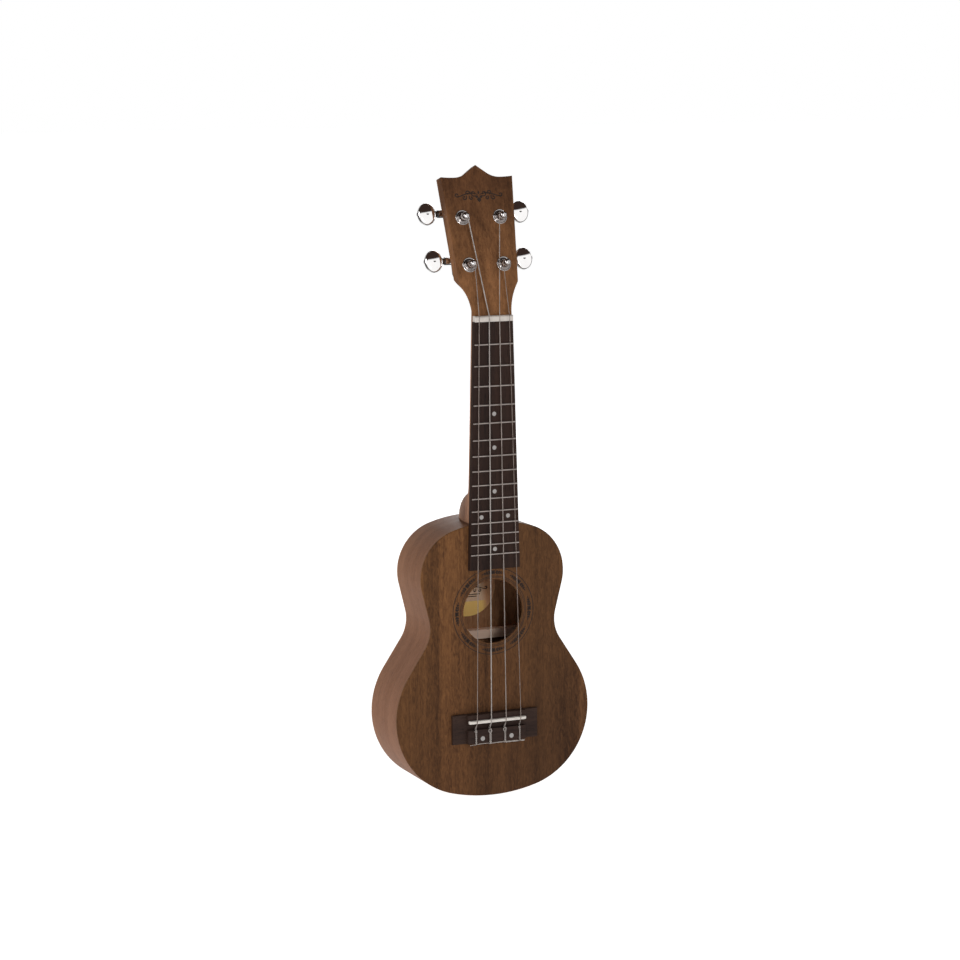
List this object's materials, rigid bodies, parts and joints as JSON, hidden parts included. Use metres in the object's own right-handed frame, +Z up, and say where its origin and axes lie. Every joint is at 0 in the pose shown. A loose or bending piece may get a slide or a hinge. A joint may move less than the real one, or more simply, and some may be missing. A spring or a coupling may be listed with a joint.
{
  "type": "soprano ukulele",
  "caption": "Small four-string instrument with a waisted hollow wooden body, fretted neck, tied bridge and geared tuners whose keys turn the string posts.",
  "frame": {"origin": "on the floor plane under the tail, at the middle of the bounding box in X and Y", "axes": "+Z up the neck from the tail to the headstock, soundboard facing -Y, +X towards the first string"},
  "size_m": [0.18, 0.0734, 0.5412],
  "materials": {
    "soundboard_wood": "satin open-grain mahogany",
    "body_wood": "satin mahogany",
    "neck_wood": "satin mahogany",
    "inner_wood": "raw softwood",
    "dark_wood": "oiled rosewood",
    "bone": "polished synthetic bone",
    "pearl": "pearl inlay",
    "fret_wire": "nickel silver",
    "tuner_chrome": "bright chrome",
    "gear_steel": "turned steel",
    "gear_brass": "cut brass",
    "screw_steel": "nickel plated steel",
    "nylon": "clear nylon monofilament",
    "label_paper": "printed paper"
  },
  "bodies": {
    "root": {"soundboard": "soundboard_wood", "back_plate": "body_wood", "side_bass": "body_wood", "side_treble": "body_wood", "top_linings": "inner_wood", "back_linings": "inner_wood", "back_braces": "inner_wood", "top_braces": "inner_wood", "bridge_plate": "inner_wood", "neck_block": "inner_wood", "tail_block": "inner_wood", "label": "label_paper", "bridge": "dark_wood", "saddle": "bone", "bridge_dots": "pearl", "bridge_bolts": "screw_steel", "bridge_nuts": "screw_steel", "neck": "neck_wood", "neck_dowels": "inner_wood", "fretboard": "dark_wood", "frets": "fret_wire", "fret_markers": "pearl", "nut": "bone", "tuner_ferrules": "tuner_chrome", "tuner_covers": "tuner_chrome", "tuner_mount_screws": "screw_steel", "string_g": "nylon", "string_c": "nylon", "string_e": "nylon", "string_a": "nylon", "tuner_housing_1": "tuner_chrome", "tuner_housing_2": "tuner_chrome", "tuner_housing_3": "tuner_chrome", "tuner_housing_4": "tuner_chrome"},
    "tuner_key_1": {"worm_shaft_1": "gear_steel", "knob_1": "tuner_chrome", "knob_screw_1": "screw_steel"},
    "string_post_1": {"post_1": "tuner_chrome", "gear_1": "gear_brass", "string_winding_1": "nylon"},
    "tuner_key_2": {"worm_shaft_2": "gear_steel", "knob_2": "tuner_chrome", "knob_screw_2": "screw_steel"},
    "string_post_2": {"post_2": "tuner_chrome", "gear_2": "gear_brass", "string_winding_2": "nylon"},
    "tuner_key_3": {"worm_shaft_3": "gear_steel", "knob_3": "tuner_chrome", "knob_screw_3": "screw_steel"},
    "string_post_3": {"post_3": "tuner_chrome", "gear_3": "gear_brass", "string_winding_3": "nylon"},
    "tuner_key_4": {"worm_shaft_4": "gear_steel", "knob_4": "tuner_chrome", "knob_screw_4": "screw_steel"},
    "string_post_4": {"post_4": "tuner_chrome", "gear_4": "gear_brass", "string_winding_4": "nylon"}
  },
  "joints": [
    {"name": "key_turn_1", "type": "hinge", "parent": "root", "child": "tuner_key_1", "pos_m": [-0.0416, 0.00082, 0.46097], "axis": [1, 0, 0], "continuous": true},
    {"name": "post_turn_1", "type": "hinge", "parent": "root", "child": "string_post_1", "pos_m": [-0.0158, -0.01652, 0.4583], "axis": [0, -0.9636, 0.2672], "continuous": true},
    {"name": "key_turn_2", "type": "hinge", "parent": "root", "child": "tuner_key_2", "pos_m": [-0.04305, 0.01173, 0.50028], "axis": [1, 0, 0], "continuous": true},
    {"name": "post_turn_2", "type": "hinge", "parent": "root", "child": "string_post_2", "pos_m": [-0.01725, -0.00562, 0.49762], "axis": [0, -0.9636, 0.2672], "continuous": true},
    {"name": "key_turn_3", "type": "hinge", "parent": "root", "child": "tuner_key_3", "pos_m": [0.04305, 0.01173, 0.50028], "axis": [1, 0, 0], "continuous": true},
    {"name": "post_turn_3", "type": "hinge", "parent": "root", "child": "string_post_3", "pos_m": [0.01725, -0.00562, 0.49762], "axis": [0, -0.9636, 0.2672], "continuous": true},
    {"name": "key_turn_4", "type": "hinge", "parent": "root", "child": "tuner_key_4", "pos_m": [0.0416, 0.00082, 0.46097], "axis": [1, 0, 0], "continuous": true},
    {"name": "post_turn_4", "type": "hinge", "parent": "root", "child": "string_post_4", "pos_m": [0.0158, -0.01652, 0.4583], "axis": [0, -0.9636, 0.2672], "continuous": true}
  ],
  "couplings": [
    {"joint": "post_turn_1", "follows": "key_turn_1", "ratio": 0.071429},
    {"joint": "post_turn_2", "follows": "key_turn_2", "ratio": 0.071429},
    {"joint": "post_turn_3", "follows": "key_turn_3", "ratio": 0.071429},
    {"joint": "post_turn_4", "follows": "key_turn_4", "ratio": 0.071429}
  ]
}
